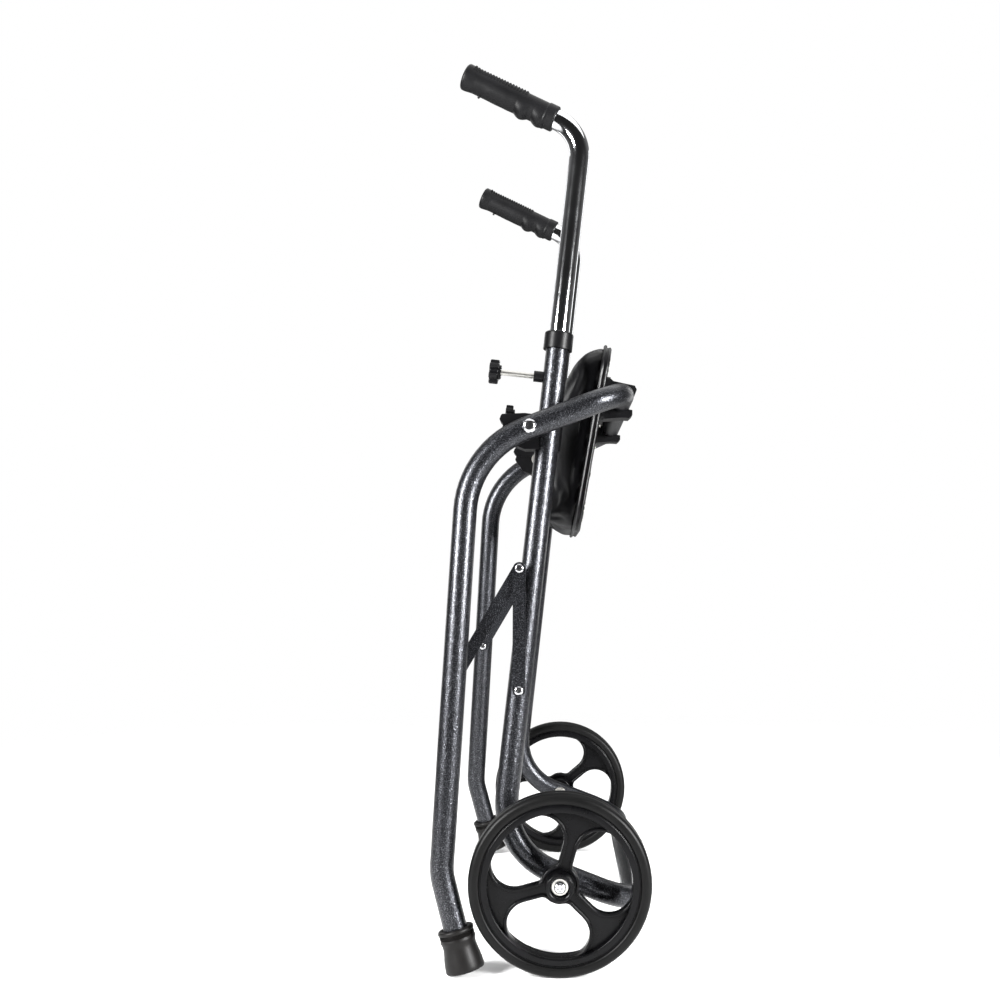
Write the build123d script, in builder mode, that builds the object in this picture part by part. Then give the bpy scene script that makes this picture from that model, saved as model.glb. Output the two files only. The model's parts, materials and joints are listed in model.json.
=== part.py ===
from build123d import *
import os
from math import atan2, cos, hypot, radians, sin, sqrt, tan

# Folding two-wheeled walker with a flip-up seat, drawn folded and standing on its wheels and tips.
# +X is the way it rolls, +Y the user's left, +Z up. The origin is on the floor under its middle.
# Millimetres and degrees throughout.

# Overall sizes
wheel_diameter = 190.5
wheel_mid = 263.0           # centre plane of the walker to the middle of a wheel
axle_x = 20.9               # axle ahead of the origin
pivot_back = 32.3           # fold pivot behind the axle
pivot_height = 572.8
splay = 3.6                 # both side frames spread towards the floor
running_fit = 0.05          # radial clearance of a pin or shaft that turns
play = 0.3                  # clearance between faces that pass each other

# Frame tube, front frame (uprights, lower runs and front cross tube)
tube_wall = 1.5
upright_half = 195.0        # centre plane to an upright's centre line, at the pivot's height
upright_lean = 6.37
pivot_offset = 19.6         # pivot behind the upright's centre line
upright_top = 676.0
lower_slope = 21.0
front_reach = 81.0          # front cross tube ahead of the axle
upright_bend = 76.0
front_corner_bend = 42.0

# Rear frame (legs, rails and the cross tube that carries the seat)
side_gap = 4.0              # free space between the front and rear frames' tubes
leg_lean = 3.43
rail_slope = 21.1
rail_back = 65.0            # top corner of a leg behind the pivot
rail_ahead = 101.3          # seat cross tube ahead of the pivot
foot_height = 103.5         # corner where a leg turns towards its foot
foot_slope = 14.8
leg_bend = 100.0
foot_bend = 60.0
rail_corner_bend = 42.0

# Rubber tips
tip_wall = 7.8              # rubber round the tube at the floor
tip_top_wall = 5.3
tip_round = 1.2
tip_ring = 5.0              # rim ring at the top of the tip
tip_ring_proud = 1.0
tip_ring_round = 1.8
tip_length = 44.0
tip_floor = 9.0             # rubber under the tube's end
tip_washer_thickness = 1.5

# Telescopic handles, which set the frame tube's bore
handle_diameter = 22.2
handle_wall = 1.5
handle_fit = 0.1            # radial play of the handle tube in the upright
handle_corner_height = 906.5
handle_insert_level = 500.0
handle_bend = 43.0
grip_rise = 25.6
grip_start = 33.0           # from the corner of the handle's bend
grip_length = 112.0
grip_wall = 2.6
grip_end_wall = 3.8
grip_cap = 4.0
hole_pitch = 28.0
hole_diameter = 6.5
holes_above = 4
holes_below = 3
left_drop = 1               # holes that the left handle stands lower than the right

# Collars and clamps on the uprights
collar_wall = 3.2
collar_length = 19.0
collar_lip = 4.0
clamp_level = 630.0
boss_diameter = 12.0
boss_length = 10.0
screw_diameter = 6.0
screw_exposed = 36.0
knob_diameter = 26.0
knob_thickness = 13.0
knob_hub = 2.5
knob_bore_depth = 7.8
knob_lobes = 6

# Fold pivot
bolt_diameter = 8.0
bracket_wall = 2.6
bracket_inner = 16.5        # centre line of the upright to the bracket's inner face
bracket_height = 38.0
bracket_drop = 3.0          # middle of the bracket's sleeve below the pivot
bracket_foot = 22.0         # lobe's reach below and above the pivot, at the upright
bracket_head = 14.0
bracket_corner = 2.5
bracket_seam = 0.9
bracket_seam_depth = 0.8
bracket_seam_rise = 3.2     # above the pivot
bracket_lobe = [            # outline of the lobe from the pivot, ahead and up
    (-6.2, -22.0),
    (-20.0, -16.5),
    (-26.0, -8.0),
    (-31.0, -1.0),
    (-29.0, 5.0),
    (-33.5, 10.0),
    (-31.0, 16.0),
    (-6.0, 17.0),
]
dome_diameter = 15.6
dome_height = 5.0
nut_width = 13.0
nut_height = 6.5
washer_thickness = 1.5

# Side links
link_width = 13.6
link_thickness = 3.0
front_link_length = 130.0
rear_link_length = 134.7
front_rivet_level = 291.8
rear_rivet_level = 305.8
rivet_diameter = 6.0
rivet_head = 10.0
rivet_dome = 2.8
rivet_socket = 3.6          # hollow in the head of a front rivet
rivet_socket_depth = 1.6
link_washer = 0.8
stop_size = 5.0
stop_depth = 2.0            # pad's height over the tube
stop_below_joint = 11.0

# Wheels
hub_diameter = 32.0
hub_length = 42.0
hub_flange = 4.0            # web left round the hub
hub_pocket = 20.0
hub_pocket_depth = 8.0
tyre_thickness = 11.25
rim_thickness = 9.0
rim_width = 24.0
web_thickness = 11.0
tyre_width = 27.0
spoke_width = 15.0
spoke_count = 3
spoke_angles = {"left": 40.0, "right": 75.0}
window_corner = 25.0
bush_diameter = 14.0
axle_head = 12.0
axle_head_height = 5.0
cross_slot = 1.5            # cross recess in an axle bolt's head
cross_reach = 6.4
cross_depth = 1.8
axle_washer = 17.0

# Seat
seat_angle = 9.95           # seat's lean from upright when it hangs folded
seat_side_gap = 16.3        # free space between the seat and each upright
seat_above = 58.0           # seat's edge above the hinge
seat_below = 155.0
seat_corner = 32.0
board_thickness = 6.0
pad_thickness = 40.0
pad_round = 28.0
saddle_reach = 20.9         # hinge centre to the underside of the seat board
saddle_wall = 5.8
saddle_jaw = 15.7           # how far the jaws reach past the hinge centre
saddle_width = 30.0
saddle_inset = 30.0         # seat's edge to the middle of a saddle
saddle_flange = 12.0        # flange beside the jaws, each side, with a screw in it
saddle_base_above = 22.0    # flange above and below the hinge's level
saddle_base_below = 27.0
saddle_base_thickness = 5.0
saddle_gusset = 6.0
saddle_mouth = 9.0          # half the gap between the jaws
saddle_corner = 5.0
seat_screw_diameter = 5.0
seat_screw_head = 9.0
seat_screw_height = 2.5

sides = {"left": 1, "right": -1}
handle_radius = handle_diameter / 2
bore_radius = handle_radius + handle_fit
tube_radius = bore_radius + tube_wall
tube_diameter = 2 * tube_radius
tip_diameter = tube_diameter + 2 * tip_wall
tip_top_diameter = tube_diameter + 2 * tip_top_wall
collar_diameter = tube_diameter + 2 * collar_wall
grip_diameter = handle_diameter + 2 * grip_wall
grip_end_diameter = handle_diameter + 2 * grip_end_wall
rim_outer = wheel_diameter / 2 - tyre_thickness
rim_inner = rim_outer - rim_thickness
seat_width = 2 * (upright_half - tube_radius - seat_side_gap)
saddle_place = seat_width / 2 - saddle_inset
saddle_screw_place = (saddle_width + saddle_flange) / 2
saddle_outer = tube_radius + 2 * running_fit + saddle_wall
rear_half = upright_half + tube_diameter + side_gap
spread = tan(radians(splay))
square = cos(radians(splay))
axle_z = wheel_diameter / 2
pivot_x = axle_x - pivot_back
hinge_x = pivot_x + rail_ahead
hinge_z = pivot_height + rail_ahead * tan(radians(rail_slope))


def splayed(half, z):
    """distance of a side frame's centre line from the walker's centre plane, at a height"""
    return half + (pivot_height - z) * spread


def front_point(side, x, z):
    return Vector(x, side * splayed(upright_half, z), z)


def rear_point(side, x, z):
    return Vector(x, side * splayed(rear_half, z), z)


def across(y):
    """drawing plane square to the walker's width, with x ahead and y up"""
    return Plane.XZ.offset(-y)


# Centre lines
lean = tan(radians(upright_lean))
foot_of_upright = pivot_x + pivot_offset / cos(radians(upright_lean))


def upright_x(z):
    return foot_of_upright + (z - pivot_height) * lean


slope = tan(radians(lower_slope))
corner_x = (foot_of_upright + (axle_z + slope * axle_x - pivot_height) * lean) / (1 + slope * lean)
corner_z = axle_z + slope * (axle_x - corner_x)
front_x = axle_x + front_reach
front_z = axle_z - slope * front_reach

leg_top_x = pivot_x - rail_back
leg_top_z = pivot_height - rail_back * tan(radians(rail_slope))


def leg_x(z):
    return leg_top_x + (z - leg_top_z) * tan(radians(leg_lean))


foot_x = leg_x(foot_height)
tip_tilt = sqrt(tan(radians(foot_slope)) ** 2 + spread**2)
sole_z = tip_diameter / 2 * sin(atan2(tip_tilt, 1))
sole_x = foot_x + (foot_height - sole_z) * tan(radians(foot_slope))


def upright_plane(side, z):
    """plane square to an upright, with x ahead"""
    up = (front_point(side, upright_x(z) + lean, z + 1) - front_point(side, upright_x(z), z)).normalized()
    ahead = (Vector(1, 0, 0) - up * up.X).normalized()
    return Plane(origin=front_point(side, upright_x(z), z), x_dir=ahead, z_dir=up)


def tube_between(start, end, radius):
    run = end - start
    return Solid.make_cylinder(radius, run.length, Plane(origin=start, z_dir=run))


front_loop, rear_loop, upright_skin, leg_skin, rail_skin, lower_skin = [], [], {}, {}, {}, {}
for name, side in sides.items():
    front_run = [
        front_point(side, upright_x(upright_top), upright_top),
        front_point(side, corner_x, corner_z),
        front_point(side, front_x, front_z),
    ]
    sole = rear_point(side, sole_x, sole_z)
    foot = rear_point(side, foot_x, foot_height)
    foot_end = sole + (foot - sole).normalized() * (tip_floor + tip_washer_thickness)
    rear_run = [
        foot_end,
        foot,
        rear_point(side, leg_top_x, leg_top_z),
        rear_point(side, hinge_x, hinge_z),
    ]
    front_loop += front_run if side > 0 else front_run[::-1]
    rear_loop += rear_run if side > 0 else rear_run[::-1]
    upright_skin[name] = tube_between(front_run[1], front_run[0], tube_radius)
    lower_skin[name] = tube_between(front_run[1], front_run[2], tube_radius)
    leg_skin[name] = tube_between(rear_run[1], rear_run[2], tube_radius)
    rail_skin[name] = tube_between(rear_run[2], rear_run[3], tube_radius)


def save(piece, label):
    piece.part.label = label
    export_step(piece.part, f"parts/{label}.step")


os.makedirs("parts", exist_ok=True)

# Front frame: one bent tube, open at the top of each upright
front_radii = [upright_bend, front_corner_bend, front_corner_bend, upright_bend]
with BuildPart() as front_frame_tube:
    with BuildLine() as front_path:
        FilletPolyline(*front_loop, radius=front_radii)
    with BuildSketch(Plane(origin=front_path.line @ 0, z_dir=front_path.line % 0)):
        Circle(tube_radius)
        Circle(bore_radius, mode=Mode.SUBTRACT)
    sweep()
    with BuildSketch(across(0)):
        with Locations((axle_x, axle_z)):
            Circle(bolt_diameter / 2 + running_fit)
        with Locations((upright_x(front_rivet_level), front_rivet_level)):
            Circle(rivet_diameter / 2)
    extrude(amount=wheel_mid, both=True, mode=Mode.SUBTRACT)
    for side in sides.values():
        level = upright_plane(side, clamp_level)
        with BuildSketch(Plane(origin=level.origin, x_dir=level.y_dir, z_dir=-level.x_dir)):
            Circle(screw_diameter / 2 + 2 * running_fit)
        extrude(amount=tube_diameter, mode=Mode.SUBTRACT)
save(front_frame_tube, "front_frame_tube")

# Rear frame: legs, rails and seat cross tube from one bent tube
rear_radii = [foot_bend, leg_bend, rail_corner_bend, rail_corner_bend, leg_bend, foot_bend]
with BuildPart() as rear_frame_tube:
    with BuildLine() as rear_path:
        FilletPolyline(*rear_loop, radius=rear_radii)
    with BuildSketch(Plane(origin=rear_path.line @ 0, z_dir=rear_path.line % 0)):
        Circle(tube_radius)
        Circle(tube_radius - tube_wall, mode=Mode.SUBTRACT)
    sweep()
    with BuildSketch(across(0)):
        with Locations((pivot_x, pivot_height)):
            Circle(bolt_diameter / 2)
    extrude(amount=wheel_mid, both=True, mode=Mode.SUBTRACT)
    with BuildSketch(across(0)):
        with Locations((leg_x(rear_rivet_level), rear_rivet_level)):
            Circle(rivet_diameter / 2)
    extrude(amount=splayed(rear_half, rear_rivet_level), both=True, mode=Mode.SUBTRACT)
save(rear_frame_tube, "rear_frame_tube")

# Rubber tips, each with a steel washer between the tube's end and the rubber floor
tip_planes = {}
for name, side in sides.items():
    sole = rear_point(side, sole_x, sole_z)
    foot = rear_point(side, foot_x, foot_height)
    tip_planes[name] = Plane(origin=sole, z_dir=foot - sole)
    with BuildPart() as rubber_tip:
        with BuildSketch(tip_planes[name]):
            Circle(tip_diameter / 2)
        with BuildSketch(tip_planes[name].offset(tip_length - tip_ring)):
            Circle(tip_top_diameter / 2)
        loft()
        with BuildSketch(tip_planes[name].offset(tip_length - tip_ring)):
            Circle(tip_top_diameter / 2 + tip_ring_proud)
        extrude(amount=tip_ring)
        fillet(rubber_tip.edges().group_by(Axis(sole, foot - sole))[-1], tip_ring_round)
        fillet(rubber_tip.edges().group_by(Axis(sole, foot - sole))[0], tip_round)
        with BuildSketch(tip_planes[name].offset(tip_floor)):
            Circle(tube_radius)
        extrude(amount=tip_length, mode=Mode.SUBTRACT)
    save(rubber_tip, f"{name}_rubber_tip")

with BuildPart() as tip_washers:
    for name in sides:
        with BuildSketch(tip_planes[name].offset(tip_floor)):
            Circle(tube_radius - running_fit)
        extrude(amount=tip_washer_thickness)
save(tip_washers, "tip_washers")

# Pivot brackets: moulded blocks around the uprights, with a lobe behind for the fold pivot
for name, side in sides.items():
    level = upright_plane(side, pivot_height - bracket_drop)
    outer_face = upright_half + tube_radius + bracket_wall
    inner_face = upright_half - bracket_inner
    with BuildPart() as pivot_bracket:
        with BuildSketch(level.offset(-bracket_height / 2)):
            Circle(tube_radius + bracket_wall)
        extrude(amount=bracket_height)
        with BuildSketch(across(side * outer_face)) as lobe_face:
            with BuildLine():
                Polyline(
                    (foot_of_upright, pivot_height - bracket_foot),
                    *[(pivot_x + x, pivot_height + z) for x, z in bracket_lobe],
                    (foot_of_upright, pivot_height + bracket_head),
                    close=True,
                )
            make_face()
            fillet(lobe_face.vertices().sort_by(Axis.X)[:-2], bracket_corner)
        extrude(amount=side * (outer_face - inner_face))
        with BuildSketch(across(side * (outer_face + tube_radius))):
            with Locations((foot_of_upright - tube_radius + bracket_wall, pivot_height)):
                Rectangle(2 * tube_diameter, 2 * tube_diameter, align=(Align.MIN, Align.CENTER))
        extrude(amount=side * (outer_face + tube_radius - upright_half), mode=Mode.SUBTRACT)
        add(upright_skin[name], mode=Mode.SUBTRACT)
        with BuildSketch(across(0)):
            with Locations((pivot_x, pivot_height)):
                Circle(bolt_diameter / 2 + running_fit)
        extrude(amount=wheel_mid, both=True, mode=Mode.SUBTRACT)
        with BuildSketch(across(0)):
            with Locations((pivot_x, pivot_height + bracket_seam_rise)):
                Rectangle(2 * bracket_height, bracket_seam, align=(Align.MAX, Align.CENTER))
        extrude(amount=-side * (inner_face + bracket_seam_depth), mode=Mode.SUBTRACT)
    save(pivot_bracket, f"{name}_pivot_bracket")

# Fold pivot bolts through the rails and the brackets' lobes
rail_side = rear_half + tube_radius / square
bracket_side = upright_half - bracket_inner
with BuildPart() as pivot_bolts:
    for name, side in sides.items():
        with BuildSketch(across(side * (rail_side - 2))):
            with Locations((pivot_x, pivot_height)):
                Circle(dome_diameter / 2)
        extrude(amount=-side * (2 + dome_height))
    outer_rims = pivot_bolts.edges().filter_by(GeomType.CIRCLE).group_by(Axis.Y)
    fillet(outer_rims[0] + outer_rims[-1], dome_height - 0.6)
    for name in sides:
        add(rail_skin[name], mode=Mode.SUBTRACT)
    for side in sides.values():
        with BuildSketch(across(side * (rail_side + 1))):
            with Locations((pivot_x, pivot_height)):
                Circle(bolt_diameter / 2)
        extrude(amount=side * (rail_side + 1 - bracket_side + nut_height + washer_thickness + 1.5))
save(pivot_bolts, "pivot_bolts")

with BuildPart() as pivot_washers:
    for side in sides.values():
        with BuildSketch(across(side * bracket_side)):
            with Locations((pivot_x, pivot_height)):
                Circle(dome_diameter / 2)
                Circle(bolt_diameter / 2, mode=Mode.SUBTRACT)
        extrude(amount=side * washer_thickness)
save(pivot_washers, "pivot_washers")

with BuildPart() as pivot_nuts:
    for side in sides.values():
        with BuildSketch(across(side * (bracket_side - washer_thickness))):
            with Locations((pivot_x, pivot_height)):
                RegularPolygon(nut_width / 2, 6, major_radius=False)
                Circle(bolt_diameter / 2, mode=Mode.SUBTRACT)
        extrude(amount=side * nut_height)
save(pivot_nuts, "pivot_nuts")

# Collars, clamp bosses, clamp screws and star knobs on the uprights
for name, side in sides.items():
    top = upright_plane(side, upright_top)
    with BuildPart() as collar:
        with BuildSketch(top.offset(collar_lip - collar_length)):
            Circle(collar_diameter / 2)
        extrude(amount=collar_length)
        fillet(collar.edges().group_by(Axis(top.origin, top.z_dir))[-1], 2.2)
        with BuildSketch(top.offset(-collar_length)):
            Circle(tube_radius)
        extrude(amount=collar_length, mode=Mode.SUBTRACT)
        with BuildSketch(top):
            Circle(bore_radius)
        extrude(amount=collar_length, mode=Mode.SUBTRACT)
    save(collar, f"{name}_collar")

    level = upright_plane(side, clamp_level)
    clamp_plane = Plane(origin=level.origin, x_dir=level.y_dir, z_dir=-level.x_dir)
    with BuildPart() as clamp_boss:
        with BuildSketch(clamp_plane):
            Circle(boss_diameter / 2)
        extrude(amount=tube_radius + boss_length)
        add(upright_skin[name], mode=Mode.SUBTRACT)
        with BuildSketch(clamp_plane):
            Circle(screw_diameter / 2 + running_fit)
        extrude(amount=tube_radius + boss_length, mode=Mode.SUBTRACT)
    save(clamp_boss, f"{name}_clamp_boss")

    screw_tip = handle_radius + play
    knob_start = tube_radius + boss_length + screw_exposed
    with BuildPart() as clamp_screw:
        with BuildSketch(clamp_plane.offset(screw_tip)):
            Circle(screw_diameter / 2)
        extrude(amount=knob_start + knob_bore_depth - screw_tip)
        chamfer(clamp_screw.edges().group_by(Axis(clamp_plane.origin, clamp_plane.z_dir))[0], 0.8)
    save(clamp_screw, f"{name}_clamp_screw")

    with BuildPart() as star_knob:
        with BuildSketch(clamp_plane.offset(knob_start)):
            Circle(knob_diameter * 0.3)
        extrude(amount=knob_hub)
        with BuildSketch(clamp_plane.offset(knob_start + knob_hub)):
            Circle(knob_diameter * 0.39)
            with PolarLocations(knob_diameter * 0.37, knob_lobes):
                Circle(knob_diameter * 0.13)
        extrude(amount=knob_thickness - knob_hub)
        fillet(star_knob.faces().sort_by(Axis(clamp_plane.origin, clamp_plane.z_dir))[-1].edges(), 1.2)
        with BuildSketch(clamp_plane.offset(knob_start)):
            Circle(screw_diameter / 2 + running_fit)
        extrude(amount=knob_bore_depth, mode=Mode.SUBTRACT)
    save(star_knob, f"{name}_star_knob")

# Handles: a bent tube that slides in the upright, with a row of dimple holes, and its grip
for name, side in sides.items():
    drop = left_drop * hole_pitch if side > 0 else 0
    corner = upright_plane(side, handle_corner_height)
    corner_point = corner.origin - corner.z_dir * drop
    bottom_point = upright_plane(side, handle_insert_level).origin - corner.z_dir * drop
    grip_run = Vector(-cos(radians(grip_rise)), 0, sin(radians(grip_rise)))
    tube_end = corner_point + grip_run * (grip_start + grip_length - grip_cap)
    with BuildPart() as handle_tube:
        with BuildLine() as handle_path:
            FilletPolyline(bottom_point, corner_point, tube_end, radius=handle_bend)
        with BuildSketch(Plane(origin=bottom_point, z_dir=corner.z_dir)):
            Circle(handle_radius)
            Circle(handle_radius - handle_wall, mode=Mode.SUBTRACT)
        sweep()
        level = upright_plane(side, clamp_level)
        for step in range(-holes_below, holes_above + 1):
            spot = level.origin + level.z_dir * (step * hole_pitch)
            with BuildSketch(Plane(origin=spot, x_dir=level.y_dir, z_dir=-level.x_dir)):
                Circle(hole_diameter / 2)
            extrude(amount=handle_diameter, mode=Mode.SUBTRACT)
    save(handle_tube, f"{name}_handle_tube")

    side_of_grip = Vector(0, 1, 0)
    grip_plane = Plane(
        origin=corner_point + grip_run * grip_start, x_dir=side_of_grip, z_dir=grip_run
    )
    with BuildPart() as grip:
        with BuildSketch(grip_plane):
            Circle(grip_diameter / 2 + 1)
        with BuildSketch(grip_plane.offset(grip_length * 0.15)):
            Circle(grip_diameter / 2)
        with BuildSketch(grip_plane.offset(grip_length * 0.8)):
            Circle(grip_diameter / 2 - 1)
        with BuildSketch(grip_plane.offset(grip_length)):
            Circle(grip_end_diameter / 2)
        loft()
        fillet(grip.edges().group_by(Axis(grip_plane.origin, grip_plane.z_dir))[-1], 2)
        with BuildSketch(grip_plane):
            Circle(handle_radius)
        extrude(amount=grip_length - grip_cap, mode=Mode.SUBTRACT)
        add(
            tube_between(bottom_point, corner_point, handle_radius + play),
            mode=Mode.SUBTRACT,
        )
    save(grip, f"{name}_grip")

# Side links. The front link hangs on the upright's outer side and the rear link runs inside the leg.
# Both ends of a link are cut from the same centres. The middle rivet is in two halves.
front_rivet = Vector(upright_x(front_rivet_level), 0, front_rivet_level)
rear_rivet = Vector(leg_x(rear_rivet_level), 0, rear_rivet_level)
base = front_rivet - rear_rivet
apart = base.length
along = (rear_link_length**2 - front_link_length**2 + apart**2) / (2 * apart)
rise = sqrt(rear_link_length**2 - along**2)
base_dir = base.normalized()
middle = rear_rivet + base_dir * along + Vector(-base_dir.Z, 0, base_dir.X) * rise

rear_link_out = splayed(rear_half, rear_rivet_level) - tube_radius / square - link_width * spread - 0.4
rear_link_in = rear_link_out - link_thickness
front_link_in = rear_link_out + play + link_washer
front_link_out = front_link_in + link_thickness


def link(side, start, end, y_in, y_out, holes):
    run = end - start
    flat = Plane(origin=(start.X, side * y_in, start.Z), x_dir=run, z_dir=(0, side, 0))
    with BuildPart() as bar:
        with BuildSketch(flat):
            with Locations((run.length / 2, 0)):
                SlotCenterToCenter(run.length, link_width)
            for place, radius in zip((0, run.length), holes):
                with Locations((place, 0)):
                    Circle(radius, mode=Mode.SUBTRACT)
        extrude(amount=y_out - y_in)
    return bar


pin = rivet_diameter / 2
for name, side in sides.items():
    front_link = link(side, front_rivet, middle, front_link_in, front_link_out, (pin + running_fit, pin))
    save(front_link, f"{name}_front_link")
    rear_link = link(side, rear_rivet, middle, rear_link_in, rear_link_out, (pin + running_fit, pin))
    save(rear_link, f"{name}_rear_link")

    with BuildPart() as middle_rivet:
        with BuildSketch(across(side * front_link_out)):
            with Locations((middle.X, middle.Z)):
                Circle(rivet_head / 2)
        extrude(amount=-side * rivet_dome)
        fillet(middle_rivet.edges().group_by(Axis.Y)[-1 if side > 0 else 0], rivet_dome - 0.4)
        with BuildSketch(across(side * (front_link_in - link_washer))):
            with Locations((middle.X, middle.Z)):
                Circle(rivet_head / 2 + 1)
        extrude(amount=-side * link_washer)
        with BuildSketch(across(side * front_link_in)):
            with Locations((middle.X, middle.Z)):
                Circle(pin)
        extrude(amount=-side * link_thickness)
    save(middle_rivet, f"{name}_middle_rivet")

    with BuildPart() as rivet_tail:
        with BuildSketch(across(side * rear_link_in)):
            with Locations((middle.X, middle.Z)):
                Circle(rivet_head / 2)
        extrude(amount=side * rivet_dome)
        fillet(rivet_tail.edges().group_by(Axis.Y)[0 if side > 0 else -1], rivet_dome - 0.4)
        with BuildSketch(across(side * rear_link_in)):
            with Locations((middle.X, middle.Z)):
                Circle(pin)
        extrude(amount=-side * link_thickness)
    save(rivet_tail, f"{name}_rivet_tail")

# Rivets through the uprights, with spacers under the front links
upright_inside = splayed(upright_half, front_rivet_level) - tube_radius / square - 1
with BuildPart() as front_rivets:
    for side in sides.values():
        with BuildSketch(across(side * (front_link_out + play))):
            with Locations((front_rivet.X, front_rivet.Z)):
                Circle(rivet_head / 2)
        extrude(amount=-side * rivet_dome)
    rims = front_rivets.edges().group_by(Axis.Y)
    fillet(rims[0] + rims[-1], rivet_dome - 0.4)
    for side in sides.values():
        with BuildSketch(across(side * (front_link_out + play))):
            with Locations((front_rivet.X, front_rivet.Z)):
                Circle(pin)
        extrude(amount=side * (front_link_out + play - upright_inside))
        with BuildSketch(across(side * (front_link_out + play + rivet_dome))):
            with Locations((front_rivet.X, front_rivet.Z)):
                Circle(rivet_socket / 2)
        extrude(amount=side * rivet_socket_depth, mode=Mode.SUBTRACT)
save(front_rivets, "front_link_rivets")

with BuildPart() as front_spacers:
    for side in sides.values():
        with BuildSketch(across(side * (front_link_in - 2 * running_fit))):
            with Locations((front_rivet.X, front_rivet.Z)):
                Circle(rivet_head / 2 + 1)
        extrude(amount=side * (front_link_in - splayed(upright_half, front_rivet_level)))
    for name in sides:
        add(upright_skin[name], mode=Mode.SUBTRACT)
    with BuildSketch(across(0)):
        with Locations((front_rivet.X, front_rivet.Z)):
            Circle(pin)
    extrude(amount=wheel_mid, both=True, mode=Mode.SUBTRACT)
save(front_spacers, "front_link_spacers")

# Small stop pads on the uprights, beside the middle joints
stop_level = middle.Z - stop_below_joint
with BuildPart() as link_stops:
    for name, side in sides.items():
        level = upright_plane(side, stop_level)
        stop_side = Plane(origin=level.origin, x_dir=level.y_dir, z_dir=-level.x_dir)
        with BuildSketch(stop_side):
            Rectangle(stop_size, stop_size)
        extrude(amount=tube_radius + stop_depth)
        add(upright_skin[name], mode=Mode.SUBTRACT)
save(link_stops, "link_stop_pads")

# Rivets into the inner side of the legs, with spacers outside the rear links
leg_inside = splayed(rear_half, rear_rivet_level) - 6
with BuildPart() as rear_rivets:
    for side in sides.values():
        with BuildSketch(across(side * (rear_link_in - play))):
            with Locations((rear_rivet.X, rear_rivet.Z)):
                Circle(rivet_head / 2)
        extrude(amount=side * rivet_dome)
    middle_rims = rear_rivets.edges().filter_by(GeomType.CIRCLE).sort_by(lambda e: abs(e.center().Y))
    fillet(middle_rims[:2], rivet_dome - 0.4)
    for side in sides.values():
        with BuildSketch(across(side * (rear_link_in - play))):
            with Locations((rear_rivet.X, rear_rivet.Z)):
                Circle(pin)
        extrude(amount=-side * (leg_inside - rear_link_in))
save(rear_rivets, "rear_link_rivets")

with BuildPart() as rear_spacers:
    for side in sides.values():
        with BuildSketch(across(side * (rear_link_out + 2 * running_fit))):
            with Locations((rear_rivet.X, rear_rivet.Z)):
                Circle(rivet_head / 2)
        extrude(amount=-side * (splayed(rear_half, rear_rivet_level) - rear_link_out))
    for name in sides:
        add(leg_skin[name], mode=Mode.SUBTRACT)
    with BuildSketch(across(0)):
        with Locations((rear_rivet.X, rear_rivet.Z)):
            Circle(pin)
    extrude(amount=wheel_mid, both=True, mode=Mode.SUBTRACT)
save(rear_spacers, "rear_link_spacers")

# Wheels: moulded hub, three spokes and rim in one, a solid tyre, and a bush in the hub
hub_in = wheel_mid - hub_length / 2
hub_out = wheel_mid + hub_length / 2
window_height = rim_inner - hub_diameter / 2 - hub_flange


def reach(vertex):
    return hypot(vertex.X, vertex.Y)


for name, side in sides.items():
    middle_plane = Plane(origin=(axle_x, side * wheel_mid, axle_z), x_dir=(1, 0, 0), z_dir=(0, -1, 0))
    with BuildPart() as wheel:
        with BuildSketch(middle_plane):
            Circle(rim_outer)
            Circle(rim_inner, mode=Mode.SUBTRACT)
        extrude(amount=rim_width / 2, both=True)
        with BuildSketch(middle_plane):
            Circle(rim_inner + 1)
        extrude(amount=web_thickness / 2, both=True)
        with BuildSketch(middle_plane) as windows:
            Circle(rim_inner)
            Circle(hub_diameter / 2 + hub_flange, mode=Mode.SUBTRACT)
            with PolarLocations(0, spoke_count, start_angle=spoke_angles[name]):
                Rectangle(rim_outer, spoke_width, align=(Align.MIN, Align.CENTER), mode=Mode.SUBTRACT)
            outer_corners = windows.vertices().sort_by(reach)[-2 * spoke_count :]
            fillet(outer_corners, min(window_corner, window_height * 0.46))
            inner_corners = windows.vertices().sort_by(reach)[: 2 * spoke_count]
            fillet(inner_corners, 5)
        extrude(amount=web_thickness, both=True, mode=Mode.SUBTRACT)
        with BuildSketch(middle_plane):
            Circle(hub_diameter / 2)
        extrude(amount=hub_length / 2, both=True)
        with BuildSketch(across(side * hub_out)):
            with Locations((axle_x, axle_z)):
                Circle(hub_pocket / 2)
        extrude(amount=side * hub_pocket_depth, mode=Mode.SUBTRACT)
        with BuildSketch(middle_plane):
            Circle(bush_diameter / 2)
        extrude(amount=hub_length, both=True, mode=Mode.SUBTRACT)
    save(wheel, f"{name}_wheel")

    with BuildPart() as tyre:
        with BuildSketch(middle_plane):
            Circle(wheel_diameter / 2)
            Circle(rim_outer, mode=Mode.SUBTRACT)
        extrude(amount=tyre_width / 2, both=True)
        fillet(tyre.edges().filter_by(lambda e: e.length > 6 * (rim_outer + 5)), 5)
    save(tyre, f"{name}_tyre")

    with BuildPart() as bush:
        with BuildSketch(across(side * hub_in)):
            with Locations((axle_x, axle_z)):
                Circle(bush_diameter / 2)
                Circle(bolt_diameter / 2 + running_fit, mode=Mode.SUBTRACT)
        extrude(amount=-side * (hub_length - hub_pocket_depth))
    save(bush, f"{name}_wheel_bush")

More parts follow.
